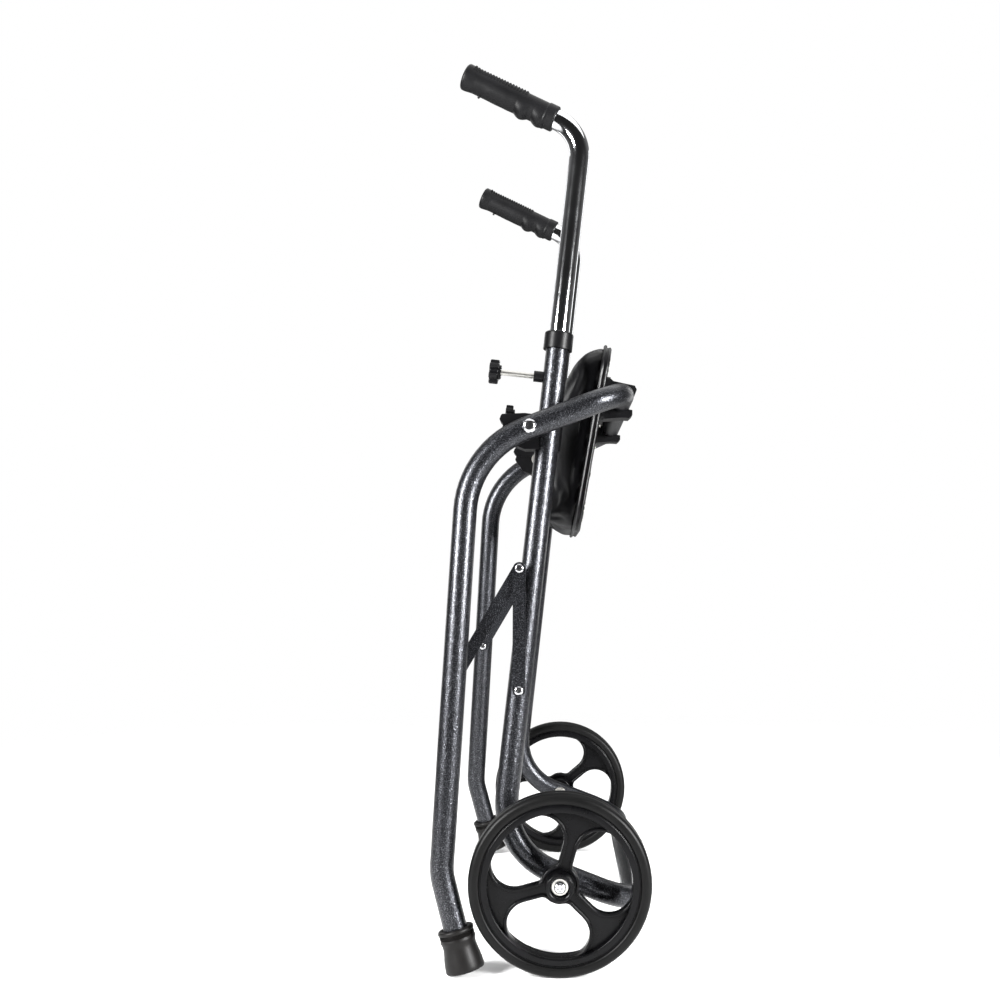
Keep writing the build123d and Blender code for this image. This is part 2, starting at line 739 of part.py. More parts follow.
# Axle bolts through the hubs and the lower runs, with spacers, washers and nuts
lower_y = splayed(upright_half, axle_z)
pocket_floor = hub_out - hub_pocket_depth
lower_inside = lower_y - tube_radius / square
with BuildPart() as axle_bolts:
    for side in sides.values():
        with BuildSketch(across(side * (pocket_floor + play + washer_thickness))):
            with Locations((axle_x, axle_z)):
                Circle(axle_head / 2)
        extrude(amount=-side * axle_head_height)
    rims = axle_bolts.edges().filter_by(GeomType.CIRCLE).group_by(Axis.Y)
    fillet(rims[0] + rims[-1], 2.5)
    for side in sides.values():
        with BuildSketch(across(side * (pocket_floor + play + washer_thickness))):
            with Locations((axle_x, axle_z)):
                Circle(bolt_diameter / 2)
        extrude(amount=side * (pocket_floor + play + 2 * washer_thickness + nut_height + 2 - lower_inside))
        with BuildSketch(across(side * (pocket_floor + play + washer_thickness + axle_head_height))):
            with Locations((axle_x, axle_z)):
                Rectangle(cross_slot, cross_reach)
                Rectangle(cross_reach, cross_slot)
        extrude(amount=side * cross_depth, mode=Mode.SUBTRACT)
save(axle_bolts, "axle_bolts")

with BuildPart() as axle_washers:
    for side in sides.values():
        with BuildSketch(across(side * (pocket_floor + play))):
            with Locations((axle_x, axle_z)):
                Circle(axle_washer / 2)
        extrude(amount=-side * washer_thickness)
        with BuildSketch(across(side * (lower_y - tube_radius / 2))):
            with Locations((axle_x, axle_z)):
                Circle(axle_washer / 2)
        extrude(amount=side * (tube_radius / 2 + 2))
    for name in sides:
        add(lower_skin[name], mode=Mode.SUBTRACT)
    with BuildSketch(across(0)):
        with Locations((axle_x, axle_z)):
            Circle(bolt_diameter / 2)
    extrude(amount=wheel_mid + hub_length, both=True, mode=Mode.SUBTRACT)
save(axle_washers, "axle_washers")

nut_face = lower_y - tube_radius - 2
with BuildPart() as axle_nuts:
    for side in sides.values():
        with BuildSketch(across(side * nut_face)):
            with Locations((axle_x, axle_z)):
                RegularPolygon(nut_width / 2, 6, major_radius=False)
                Circle(bolt_diameter / 2, mode=Mode.SUBTRACT)
        extrude(amount=side * nut_height)
save(axle_nuts, "axle_nuts")

with BuildPart() as wheel_spacers:
    for side in sides.values():
        with BuildSketch(across(side * (hub_in - play))):
            with Locations((axle_x, axle_z)):
                Circle(bush_diameter / 2)
        extrude(amount=side * (hub_in - lower_y))
    for name in sides:
        add(lower_skin[name], mode=Mode.SUBTRACT)
    with BuildSketch(across(0)):
        with Locations((axle_x, axle_z)):
            Circle(bolt_diameter / 2)
    extrude(amount=wheel_mid, both=True, mode=Mode.SUBTRACT)
save(wheel_spacers, "wheel_spacers")

# Seat, drawn in its own frame: x square to the board and ahead, y along the board and up
ahead = Vector(cos(radians(seat_angle)), 0, -sin(radians(seat_angle)))


def seat_side(y):
    return Plane(origin=(hinge_x, y, hinge_z), x_dir=ahead, z_dir=(0, -1, 0))


board_middle = (seat_above - seat_below) / 2
seat_depth = seat_above + seat_below
seat_face = Plane(origin=(hinge_x, 0, hinge_z), x_dir=(0, 1, 0), z_dir=-ahead)
board_plane = seat_face.offset(saddle_reach)
up_sign = 1 if seat_face.y_dir.Z > 0 else -1
screw_places = [
    (side * saddle_place + end * saddle_screw_place, 0) for side in sides.values() for end in (-1, 1)
]

with BuildPart() as seat_board:
    with BuildSketch(board_plane):
        with Locations((0, up_sign * board_middle)):
            RectangleRounded(seat_width, seat_depth, seat_corner)
    extrude(amount=board_thickness)
    with BuildSketch(board_plane):
        with Locations(*screw_places):
            Circle(seat_screw_diameter / 2)
    extrude(amount=board_thickness, mode=Mode.SUBTRACT)
save(seat_board, "seat_board")

pad_plane = board_plane.offset(board_thickness)
with BuildPart() as seat_pad:
    with BuildSketch(pad_plane):
        with Locations((0, up_sign * board_middle)):
            RectangleRounded(seat_width, seat_depth, seat_corner)
    extrude(amount=pad_thickness)
    fillet(seat_pad.edges().group_by(Axis(pad_plane.origin, pad_plane.z_dir))[-1], pad_round)
save(seat_pad, "seat_pad")

for name, side in sides.items():
    start = side * (saddle_place - saddle_width / 2)
    end = side * (saddle_place + saddle_width / 2)
    with BuildPart() as saddle:
        with BuildSketch(seat_side(max(start, end))):
            with BuildLine():
                Polyline(
                    (-saddle_reach, -saddle_base_below),
                    (-saddle_reach, saddle_base_above),
                    (-saddle_reach + saddle_base_thickness, saddle_base_above),
                    (-saddle_reach + saddle_base_thickness + 4, saddle_outer + 1),
                    (saddle_jaw - 3, saddle_outer),
                    (saddle_jaw, saddle_outer - 4),
                    (saddle_jaw - 1, saddle_mouth),
                    (saddle_jaw - 1, -saddle_mouth),
                    (saddle_jaw, -saddle_outer + 4),
                    (saddle_jaw - 3, -saddle_outer),
                    (4, -saddle_outer - 1),
                    (-saddle_reach + saddle_base_thickness, -saddle_outer - saddle_gusset),
                    (-saddle_reach + saddle_base_thickness, -saddle_base_below),
                    close=True,
                )
            make_face()
            Circle(tube_radius + 2 * running_fit, mode=Mode.SUBTRACT)
            with Locations((tube_radius, 0)):
                Rectangle(tube_radius, 2 * saddle_mouth, mode=Mode.SUBTRACT)
        extrude(amount=saddle_width)
        with BuildSketch(seat_face.offset(saddle_reach - saddle_base_thickness)):
            with Locations((side * saddle_place, up_sign * (saddle_base_above - saddle_base_below) / 2)):
                RectangleRounded(
                    saddle_width + 2 * saddle_flange, saddle_base_above + saddle_base_below, saddle_corner
                )
        extrude(amount=saddle_base_thickness)
        with BuildSketch(seat_face.offset(saddle_reach - saddle_base_thickness)):
            with Locations(*screw_places):
                Circle(seat_screw_diameter / 2)
        extrude(amount=saddle_base_thickness, mode=Mode.SUBTRACT)
    save(saddle, f"{name}_seat_saddle")

with BuildPart() as seat_screws:
    with BuildSketch(seat_face.offset(saddle_reach - saddle_base_thickness)):
        with Locations(*screw_places):
            Circle(seat_screw_diameter / 2)
    extrude(amount=saddle_base_thickness + board_thickness - 1)
    with BuildSketch(seat_face.offset(saddle_reach - saddle_base_thickness - seat_screw_height)):
        with Locations(*screw_places):
            Circle(seat_screw_head / 2)
    extrude(amount=seat_screw_height)
    fillet(seat_screws.edges().group_by(Axis(seat_face.origin, seat_face.z_dir))[0], 1.2)
save(seat_screws, "seat_screws")
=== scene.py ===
import json
import bpy
import bmesh
from math import atan2, ceil, cos, pi, radians, sin, sqrt
from mathutils import Matrix, Vector, noise


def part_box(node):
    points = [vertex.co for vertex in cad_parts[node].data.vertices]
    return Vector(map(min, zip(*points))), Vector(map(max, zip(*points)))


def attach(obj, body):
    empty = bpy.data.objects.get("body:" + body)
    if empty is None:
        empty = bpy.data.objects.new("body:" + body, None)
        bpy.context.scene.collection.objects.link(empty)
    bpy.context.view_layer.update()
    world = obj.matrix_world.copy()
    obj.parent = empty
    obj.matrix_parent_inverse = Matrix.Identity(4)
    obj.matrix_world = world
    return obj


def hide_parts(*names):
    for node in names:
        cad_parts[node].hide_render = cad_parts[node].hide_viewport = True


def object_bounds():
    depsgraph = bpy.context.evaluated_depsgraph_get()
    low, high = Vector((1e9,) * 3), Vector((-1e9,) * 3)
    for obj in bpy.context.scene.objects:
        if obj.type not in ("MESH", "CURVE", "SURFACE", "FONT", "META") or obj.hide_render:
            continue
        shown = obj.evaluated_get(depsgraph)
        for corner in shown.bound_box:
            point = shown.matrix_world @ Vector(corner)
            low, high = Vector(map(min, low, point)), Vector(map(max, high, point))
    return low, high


# Folding two-wheeled walker with a flip-up seat. Metres, in the frame of the CAD part.
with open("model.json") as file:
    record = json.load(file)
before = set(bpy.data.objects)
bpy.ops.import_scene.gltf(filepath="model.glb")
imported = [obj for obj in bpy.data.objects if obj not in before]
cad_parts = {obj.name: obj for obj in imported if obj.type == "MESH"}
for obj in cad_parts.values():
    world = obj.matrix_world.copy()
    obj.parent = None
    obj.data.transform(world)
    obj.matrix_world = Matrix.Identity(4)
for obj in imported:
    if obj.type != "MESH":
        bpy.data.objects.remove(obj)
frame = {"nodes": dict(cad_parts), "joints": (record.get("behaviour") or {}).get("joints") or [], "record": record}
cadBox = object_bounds()
nodes = frame["nodes"]
record = frame["record"]
joints = {j["name"]: j for j in frame["joints"]}
mounts = {m["name"]: m for m in record["mounts"]}
sides = {"left": 1, "right": -1}
mm = 0.001
print("frame loaded:", len(nodes), "nodes")


def startMaterial(name, look):
    mat = bpy.data.materials.new(name)
    mat.use_nodes = True
    tree = mat.node_tree
    shader = tree.nodes["Principled BSDF"]
    for socket, value in look.items():
        shader.inputs[socket].default_value = value
    coords = tree.nodes.new("ShaderNodeTexCoord")
    return mat, tree, shader, coords.outputs["Object"]


def noiseMap(tree, coords, scale, detail=2.0, roughness=0.5):
    tex = tree.nodes.new("ShaderNodeTexNoise")
    tex.inputs["Scale"].default_value = scale
    tex.inputs["Detail"].default_value = detail
    tex.inputs["Roughness"].default_value = roughness
    tree.links.new(coords, tex.inputs["Vector"])
    return tex.outputs["Fac"]


def cellMap(tree, coords, scale):
    tex = tree.nodes.new("ShaderNodeTexVoronoi")
    tex.inputs["Scale"].default_value = scale
    tree.links.new(coords, tex.inputs["Vector"])
    return tex.outputs["Distance"]


def ramp(tree, value, stops):
    node = tree.nodes.new("ShaderNodeValToRGB")
    marks = node.color_ramp.elements
    while len(marks) < len(stops):
        marks.new(0.5)
    for mark, (place, colour) in zip(marks, stops):
        mark.position = place
        mark.color = (*colour, 1)
    tree.links.new(value, node.inputs["Fac"])
    return node.outputs["Color"]


def remap(tree, value, low, high):
    node = tree.nodes.new("ShaderNodeMapRange")
    node.inputs["To Min"].default_value = low
    node.inputs["To Max"].default_value = high
    tree.links.new(value, node.inputs["Value"])
    return node.outputs["Result"]


def bump(tree, shader, height, strength, distance, under=None):
    node = tree.nodes.new("ShaderNodeBump")
    node.inputs["Strength"].default_value = strength
    node.inputs["Distance"].default_value = distance
    tree.links.new(height, node.inputs["Height"])
    if under is not None:
        tree.links.new(under.outputs["Normal"], node.inputs["Normal"])
    tree.links.new(node.outputs["Normal"], shader.inputs["Normal"])
    return node


hammer = {
    "cellsPerMetre": 640, "fleckPerMetre": 950,
    "dark": (0.006, 0.0062, 0.0072), "mid": (0.023, 0.024, 0.028), "silver": (0.155, 0.16, 0.175),
}


def frameCoat():
    # powder coat with silver flecks lying in hammered dimples
    look = {"Metallic": 0.85, "Coat Weight": 0.2, "Coat Roughness": 0.2}
    mat, tree, shader, coords = startMaterial("frame_coat", look)
    flecks = noiseMap(tree, coords, hammer["fleckPerMetre"], 2.5, 0.6)
    tone = ramp(tree, flecks, [(0.38, hammer["dark"]), (0.55, hammer["mid"]), (0.74, hammer["silver"])])
    tree.links.new(tone, shader.inputs["Base Color"])
    tree.links.new(remap(tree, noiseMap(tree, coords, 60), 0.26, 0.38), shader.inputs["Roughness"])
    fine = bump(tree, shader, flecks, 0.2, 0.0002)
    bump(tree, shader, cellMap(tree, coords, hammer["cellsPerMetre"]), 0.42, 0.0005, fine)
    return mat


def platedMetal(name, colour, rough, smear, scratch):
    # plated steel: a base tone with faint smears and hairline polish marks
    mat, tree, shader, coords = startMaterial(name, {"Metallic": 1.0})
    smears = noiseMap(tree, coords, smear, 4)
    tint = [tuple(c * k for c in colour) for k in (0.86, 1.0)]
    tree.links.new(ramp(tree, smears, [(0.3, tint[0]), (0.7, tint[1])]), shader.inputs["Base Color"])
    tree.links.new(remap(tree, smears, *rough), shader.inputs["Roughness"])
    bump(tree, shader, noiseMap(tree, coords, scratch, 3, 0.7), 0.08, 0.0001)
    return mat


def blackMoulding(name, colour, rough, grainPerMetre, depth, gloss=0.15):
    # moulded plastic or rubber: fine spark-eroded grain, and broad cloudy changes of gloss
    mat, tree, shader, coords = startMaterial(name, {"Specular IOR Level": gloss})
    clouds = noiseMap(tree, coords, 45, 4, 0.6)
    pale = tuple(c * 1.7 for c in colour)
    tree.links.new(ramp(tree, clouds, [(0.35, colour), (0.75, pale)]), shader.inputs["Base Color"])
    tree.links.new(remap(tree, clouds, *rough), shader.inputs["Roughness"])
    bump(tree, shader, noiseMap(tree, coords, grainPerMetre, 3, 0.6), 0.35, depth)
    return mat


def seatVinyl(name, gloss, rough):
    # soft black vinyl: leather grain of small pebbles, with creases
    look = {"Specular IOR Level": gloss, "Coat Weight": 0.02, "Coat Roughness": 0.25}
    mat, tree, shader, coords = startMaterial(name, look)
    clouds = noiseMap(tree, coords, 22, 3)
    tone = ramp(tree, clouds, [(0.3, (0.0018, 0.0018, 0.0021)), (0.75, (0.0036, 0.0036, 0.0042))])
    tree.links.new(tone, shader.inputs["Base Color"])
    tree.links.new(remap(tree, clouds, *rough), shader.inputs["Roughness"])
    pebbles = cellMap(tree, coords, 1100)
    creases = bump(tree, shader, noiseMap(tree, coords, 160, 5, 0.7), 0.18, 0.0006)
    bump(tree, shader, pebbles, 0.3, 0.00025, creases)
    return mat


finishes = {
    "frame_coat": frameCoat(),
    "handle_chrome": platedMetal("handle_chrome", (0.82, 0.83, 0.85), (0.05, 0.14), 35, 1500),
    "bright_fasteners": platedMetal("bright_fasteners", (0.62, 0.62, 0.64), (0.13, 0.25), 300, 2500),
    "zinc_steel": platedMetal("zinc_steel", (0.58, 0.57, 0.54), (0.25, 0.42), 260, 2200),
    "moulded_black": blackMoulding("moulded_black", (0.0022, 0.0022, 0.0025), (0.28, 0.4), 1400, 0.00012),
    "grip_rubber": blackMoulding("grip_rubber", (0.0022, 0.0022, 0.0025), (0.4, 0.52), 1100, 0.0002),
    "tip_rubber": blackMoulding("tip_rubber", (0.0028, 0.0025, 0.0024), (0.36, 0.5), 900, 0.0002),
    "wheel_plastic": blackMoulding(
        "wheel_plastic", (0.0014, 0.0014, 0.0016), (0.22, 0.34), 1300, 0.0001, 0.11,
    ),
    "wheel_tyre": blackMoulding("wheel_tyre", (0.0018, 0.0018, 0.0018), (0.34, 0.46), 1000, 0.00018, 0.11),
    "seat_vinyl": seatVinyl("seat_vinyl", 0.14, (0.28, 0.4)),
}
weltVinyl = seatVinyl("seat_welt", 0.3, (0.26, 0.36))
for part in record["subparts"]:
    mesh = nodes[part["node"]].data
    mesh.materials.clear()
    mesh.materials.append(finishes[part["material_slot"]])
print("finishes made:", len(finishes))



def alongAxis(origin, axis, ahead):
    # local z runs along the axis, and local x as near to ahead as it can
    z = Vector(axis).normalized()
    x = (Vector(ahead) - z * z.dot(Vector(ahead))).normalized()
    y = z.cross(x)
    place = Matrix((x, y, z)).transposed().to_4x4()
    place.translation = Vector(origin)
    return place


def meshPiece(name, verts, faces, place=None):
    mesh = bpy.data.meshes.new(name)
    mesh.from_pydata([tuple(v) for v in verts], [], faces)
    if place is not None:
        mesh.transform(place)
    mesh.validate()
    bm = bmesh.new()
    bm.from_mesh(mesh)
    bmesh.ops.remove_doubles(bm, verts=bm.verts, dist=1e-6)
    bmesh.ops.recalc_face_normals(bm, faces=bm.faces)
    bm.to_mesh(mesh)
    bm.free()
    obj = bpy.data.objects.new(name, mesh)
    bpy.context.scene.collection.objects.link(obj)
    return obj


def finishPiece(obj, body, slotName, replaced=(), smoothAngle=35):
    obj.data.materials.clear()
    obj.data.materials.append(finishes[slotName])
    obj.data.shade_smooth()
    if smoothAngle:
        obj.data.set_sharp_from_angle(angle=radians(smoothAngle))
    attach(obj, body)
    if replaced:
        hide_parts(*replaced)
    return obj


def ringFaces(rows, around):
    # quads between rows of a closed ring grid
    faces = []
    for r in range(rows - 1):
        for a in range(around):
            b = (a + 1) % around
            faces.append((r * around + a, r * around + b, (r + 1) * around + b, (r + 1) * around + a))
    return faces


def lathe(profile, around=96):
    # profile is (radius, height) from one end to the other, closed on itself when it ends where it starts
    verts = []
    for radius, height in profile:
        for a in range(around):
            turn = 2 * pi * a / around
            verts.append((radius * cos(turn), radius * sin(turn), height))
    return verts, ringFaces(len(profile), around)


def rounded(points, radius, steps=4):
    # round the corners of an open profile
    out = [points[0]]
    for before, corner, after in zip(points, points[1:], points[2:]):
        b, c, a = Vector(before), Vector(corner), Vector(after)
        reach = min(radius, (b - c).length * 0.49, (a - c).length * 0.49)
        start, end = c + (b - c).normalized() * reach, c + (a - c).normalized() * reach
        for k in range(steps + 1):
            t = k / steps
            out.append(tuple(start * (1 - t) ** 2 + c * 2 * t * (1 - t) + end * t * t))
    out.append(points[-1])
    return out


def joinPieces(name, pieces):
    bm = bmesh.new()
    for piece in pieces:
        bm.from_mesh(piece.data)
    mesh = bpy.data.meshes.new(name)
    bm.to_mesh(mesh)
    bm.free()
    for piece in pieces:
        bpy.data.objects.remove(piece)
    obj = bpy.data.objects.new(name, mesh)
    bpy.context.scene.collection.objects.link(obj)
    return obj


def plate(name, outlines, thickness, edge, place):
    # flat plate with rounded edges: the first outline is its rim, the others are holes
    curve = bpy.data.curves.new(name, "CURVE")
    curve.dimensions = "2D"
    curve.fill_mode = "BOTH"
    for outline in outlines:
        spline = curve.splines.new("POLY")
        spline.points.add(len(outline) - 1)
        for point, (x, y) in zip(spline.points, outline):
            point.co = (x, y, 0, 1)
        spline.use_cyclic_u = True
    curve.extrude = thickness / 2 - edge
    curve.bevel_depth = edge
    curve.bevel_resolution = 2
    curve.offset = -edge
    holder = bpy.data.objects.new(name, curve)
    bpy.context.scene.collection.objects.link(holder)
    depsgraph = bpy.context.evaluated_depsgraph_get()
    mesh = bpy.data.meshes.new_from_object(holder.evaluated_get(depsgraph))
    bpy.data.objects.remove(holder)
    mesh.transform(place)
    obj = bpy.data.objects.new(name, mesh)
    bpy.context.scene.collection.objects.link(obj)
    return obj


def tubeAlong(name, points, radius, closed=False):
    curve = bpy.data.curves.new(name, "CURVE")
    curve.dimensions = "3D"
    spline = curve.splines.new("POLY")
    spline.points.add(len(points) - 1)
    for point, where in zip(spline.points, points):
        point.co = (*where, 1)
    spline.use_cyclic_u = closed
    curve.bevel_depth = radius
    curve.bevel_resolution = 3
    curve.use_fill_caps = True
    holder = bpy.data.objects.new(name, curve)
    bpy.context.scene.collection.objects.link(holder)
    depsgraph = bpy.context.evaluated_depsgraph_get()
    mesh = bpy.data.meshes.new_from_object(holder.evaluated_get(depsgraph))
    bpy.data.objects.remove(holder)
    obj = bpy.data.objects.new(name, mesh)
    bpy.context.scene.collection.objects.link(obj)
    return obj


# spoked wheels with solid tyres, in millimetres
wheel = {
    "rimOuter": 84.0, "rimInner": 75.5, "rimWidth": 24.0,
    "web": 7.0, "rib": 13.0, "ribWidth": 3.4,
    "hub": 15.5, "hubLength": 42.0, "pocket": 10.0, "pocketDepth": 8.0, "bush": 7.0,
    "spokes": 3, "firstSpoke": {"left": 40.0, "right": 75.0}, "spokeHalf": 7.5, "windowStart": 20.0,
    "outerCorner": 24.0, "innerCorner": 7.0, "tyreWidth": 27.0, "tyreOuter": 95.25, "tyreRound": 6.0,
}


def circle(radius, count=120):
    return [(radius * cos(2 * pi * k / count), radius * sin(2 * pi * k / count)) for k in range(count)]


def arc(centre, radius, start, end, count):
    turn = (end - start + pi) % (2 * pi) - pi
    angles = [start + turn * k / count for k in range(count + 1)]
    return [(centre[0] + radius * cos(a), centre[1] + radius * sin(a)) for a in angles]


def windowOutline(spokeTurn, grow):
    # opening between two spokes: half of it is drawn beside one spoke, then mirrored
    half = wheel["spokeHalf"] - grow
    outer, inner = wheel["rimInner"] + grow, wheel["windowStart"] - grow
    big, small = wheel["outerCorner"] + grow, wheel["innerCorner"] + grow
    bisector = pi / wheel["spokes"]
    innerCentre = (sqrt((inner + small) ** 2 - (half + small) ** 2), half + small)
    outerCentre = (sqrt((outer - big) ** 2 - (half + big) ** 2), half + big)
    innerTurn = atan2(innerCentre[1], innerCentre[0])
    outerTurn = atan2(outerCentre[1], outerCentre[0])
    points = [(inner * cos(a), inner * sin(a)) for a in (bisector - 0.01, (bisector + innerTurn) / 2)]
    points += arc(innerCentre, small, innerTurn + pi, -pi / 2, 8)
    points += arc(outerCentre, big, -pi / 2, outerTurn, 14)
    steps = 10
    points += [
        (outer * cos(a), outer * sin(a))
        for a in (outerTurn + (bisector - outerTurn) * k / steps for k in range(1, steps))
    ]
    mirror = [(x * cos(2 * bisector) + y * sin(2 * bisector), x * sin(2 * bisector) - y * cos(2 * bisector))
              for x, y in points]
    loop = points + mirror[::-1]
    c, s = cos(spokeTurn), sin(spokeTurn)
    return [((x * c - y * s) * mm, (x * s + y * c) * mm) for x, y in loop]


def makeWheel(name, side):
    joint = joints[f"{name}_wheel_roll"]
    # local z points outwards, and local x ahead
    place = alongAxis(joint["pos_m"], (0, side, 0), (1, 0, 0))
    first = radians(wheel["firstSpoke"][name]) * -side
    turns = [first + 2 * pi * k / wheel["spokes"] for k in range(wheel["spokes"])]
    rim = [(x * mm, y * mm) for x, y in circle(wheel["rimInner"] + 4)]
    pieces = [plate("web", [rim] + [windowOutline(t, 0) for t in turns], wheel["web"] * mm, 1.2 * mm, place)]
    for t in turns:
        outlines = [windowOutline(t, wheel["ribWidth"]), windowOutline(t, 0)]
        pieces.append(plate("rib", outlines, wheel["rib"] * mm, 1.1 * mm, place))
    half, inner, outer = wheel["rimWidth"] / 2, wheel["rimInner"], wheel["rimOuter"]
    rimLoop = [
        (inner + 0.6, 0), (inner - 0.4, half), (outer - 2.2, half), (outer - 1.4, half - 0.9),
        (outer, half - 0.9), (outer, 0.9 - half), (outer - 1.4, 0.9 - half), (outer - 2.2, -half),
        (inner - 0.4, -half), (inner + 0.6, 0),
    ]
    pieces.append(meshPiece("rim", *lathe([(r * mm, z * mm) for r, z in rounded(rimLoop, 1.6)], 128), place))
    hub, reach, pocket = wheel["hub"], wheel["hubLength"] / 2, wheel["pocket"]
    floor, bush = reach - wheel["pocketDepth"], wheel["bush"]
    hubLoop = [
        (bush, -reach), (hub - 1, -reach), (hub, 0), (hub - 1.2, reach), (pocket + 1.5, reach),
        (pocket, reach - 1.5), (pocket - 0.4, floor), (bush, floor), (bush, -reach),
    ]
    pieces.append(meshPiece("hub", *lathe([(r * mm, z * mm) for r, z in rounded(hubLoop, 1.5)], 64), place))
    body = joinPieces(f"{name}_wheel_moulding", pieces)
    finishPiece(body, f"{name}_wheel", "wheel_plastic", [f"{name}_wheel"])

    # solid tyre with a shallow mould line round the middle and a step down to the rim
    top, base, wide, soft = wheel["tyreOuter"], wheel["rimOuter"], wheel["tyreWidth"] / 2, wheel["tyreRound"]
    loop = [(base + 0.05, 0), (base + 0.05, wide - 1.6), (base + 0.7, wide - 0.6), (base + 1.8, wide)]
    turns = [k * pi / 12 for k in range(1, 7)]
    loop += [(top - soft + soft * sin(a), wide - soft + soft * cos(a)) for a in turns]
    loop += [(top, 1.0), (top - 0.35, 0.4)]
    loop += [(r, -z) for r, z in loop[::-1]]
    tyre = meshPiece(f"{name}_tyre_solid", *lathe([(r * mm, z * mm) for r, z in loop], 160), place)
    finishPiece(tyre, f"{name}_wheel", "wheel_tyre", [f"{name}_tyre"])


for name, side in sides.items():
    makeWheel(name, side)
print("wheels made")


# ribbed rubber hand grips
grip = {
    "rise": 25.6, "length": 112.0, "bore": 11.1, "radius": 13.3,
    "flare": 1.3, "collar": 0.9, "collarLength": 13.0,
    "ribPitch": 3.5, "ribHeight": 1.5, "ribStart": 38.0, "ribEnd": 105.0, "ribSpread": 62.0,
    "fingers": (17.0, 38.0), "fingerHeight": 3.2, "fingerWidth": 8.0, "palm": 0.5,
    "nibFromEnd": 24.0, "nib": 2.6,
}


def smoothStep(value, low, high):
    t = min(1, max(0, (value - low) / (high - low)))
    return t * t * (3 - 2 * t)


def gripRadius(t, turn):
    # turn is 0 on top of the grip
    length = grip["length"]
    radius = grip["radius"]
    radius += grip["collar"] * (1 - smoothStep(t, grip["collarLength"] - 2, grip["collarLength"]))
    radius += grip["flare"] * smoothStep(t, length - 16, length - 4)
    radius += grip["palm"] * sin(pi * smoothStep(t, 20, length - 10)) * (0.5 - 0.5 * cos(turn))
    under = max(0, -cos(turn)) ** 1.5
    for place in grip["fingers"]:
        near = min(1, abs(t - place) / grip["fingerWidth"])
        radius += grip["fingerHeight"] * under * max(0, cos(near * pi / 2))
    if grip["ribStart"] < t < grip["ribEnd"]:
        tooth = ((t - grip["ribStart"]) / grip["ribPitch"]) % 1
        saw = tooth / 0.72 if tooth < 0.72 else (1 - tooth) / 0.28
        widest = radians(grip["ribSpread"])
        spread = 1 - smoothStep(abs(turn), widest - radians(12), widest)
        radius += grip["ribHeight"] * saw * spread
    radius += 0.12 * noise.noise(Vector((t * 0.12, 3 * cos(turn), 3 * sin(turn))))
    return radius


def makeGrip(name):
    low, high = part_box(f"{name}_grip")
    axis = Vector((-cos(radians(grip["rise"])), 0, sin(radians(grip["rise"]))))
    top = Vector((sin(radians(grip["rise"])), 0, cos(radians(grip["rise"]))))
    length, bore = grip["length"] * mm, grip["bore"]
    start = (low + high) / 2 - axis * length / 2
    place = alongAxis(start, axis, top)
    around = 96
    rows = [(bore, 6.0), (bore, 0.3), (bore + 0.4, 0.0)]
    steps = 4
    profile = []
    for k in range(steps + 1):
        a = pi / 2 * k / steps
        profile.append((-1.8 + 1.8 * sin(a), 1.8 - 1.8 * cos(a)))
    verts = []
    for radius, t in rows:
        verts += [(x, y, t) for x, y in circle(radius, around)]
    count = len(rows)
    for inset, t in profile:
        for a in range(around):
            turn = 2 * pi * a / around
            r = gripRadius(t, (turn + pi) % (2 * pi) - pi) + inset
            verts.append((r * cos(turn), r * sin(turn), t))
    count += len(profile)
    finish = grip["length"] - 3.0
    fine = int(ceil((finish - 1.8) / 0.44))
    for k in range(1, fine + 1):
        t = 1.8 + (finish - 1.8) * k / fine
        for a in range(around):
            turn = 2 * pi * a / around
            r = gripRadius(t, (turn + pi) % (2 * pi) - pi)
            verts.append((r * cos(turn), r * sin(turn), t))
    count += fine
    for k in range(1, 7):
        a = pi / 2 * k / 6
        for b in range(around):
            turn = 2 * pi * b / around
            r = gripRadius(finish, (turn + pi) % (2 * pi) - pi) - 3.0 * (1 - cos(a))
            verts.append((r * cos(turn), r * sin(turn), finish + 3.0 * sin(a)))
    count += 6
    for radius, t in ((9.5, 0.0), (9.0, -0.7), (5.0, -0.9), (1.0, -0.9)):
        verts += [(x, y, grip["length"] + t) for x, y in circle(radius, around)]
        count += 1
    faces = ringFaces(count, around)
    faces.append(tuple((count - 1) * around + a for a in range(around)))
    verts = [Vector(v) * mm for v in verts]
    body = meshPiece("grip", verts, faces, place)
    # small moulding nib under the rear of the grip
    nib = grip["nib"]
    nibProfile = [(0.1, nib), (0.9, nib - 0.3), (1.3, nib - 1.0), (1.7, -1.5)]
    nibRadius, nibPlace = grip["radius"] + grip["palm"] * 0.6, grip["length"] - grip["nibFromEnd"]
    under = place @ Vector((-nibRadius * mm, 0, nibPlace * mm))
    nibLathe = lathe([(r * mm, z * mm) for r, z in nibProfile], 16)
    nibPiece = meshPiece("nib", *nibLathe, alongAxis(under, -top, axis))
    body = joinPieces(f"{name}_grip_rubber", [body, nibPiece])
    finishPiece(body, f"{name}_handle", "grip_rubber", [f"{name}_grip"], 50)


for name in sides:
    makeGrip(name)
print("grips made")


# rubber tips on the rear legs
tip = {
    "length": 44.0, "bottom": 20.5, "top": 18.0, "bore": 12.75, "floor": 9.0,
    "wrinkles": 4, "wrinkleDepth": 0.35,
}


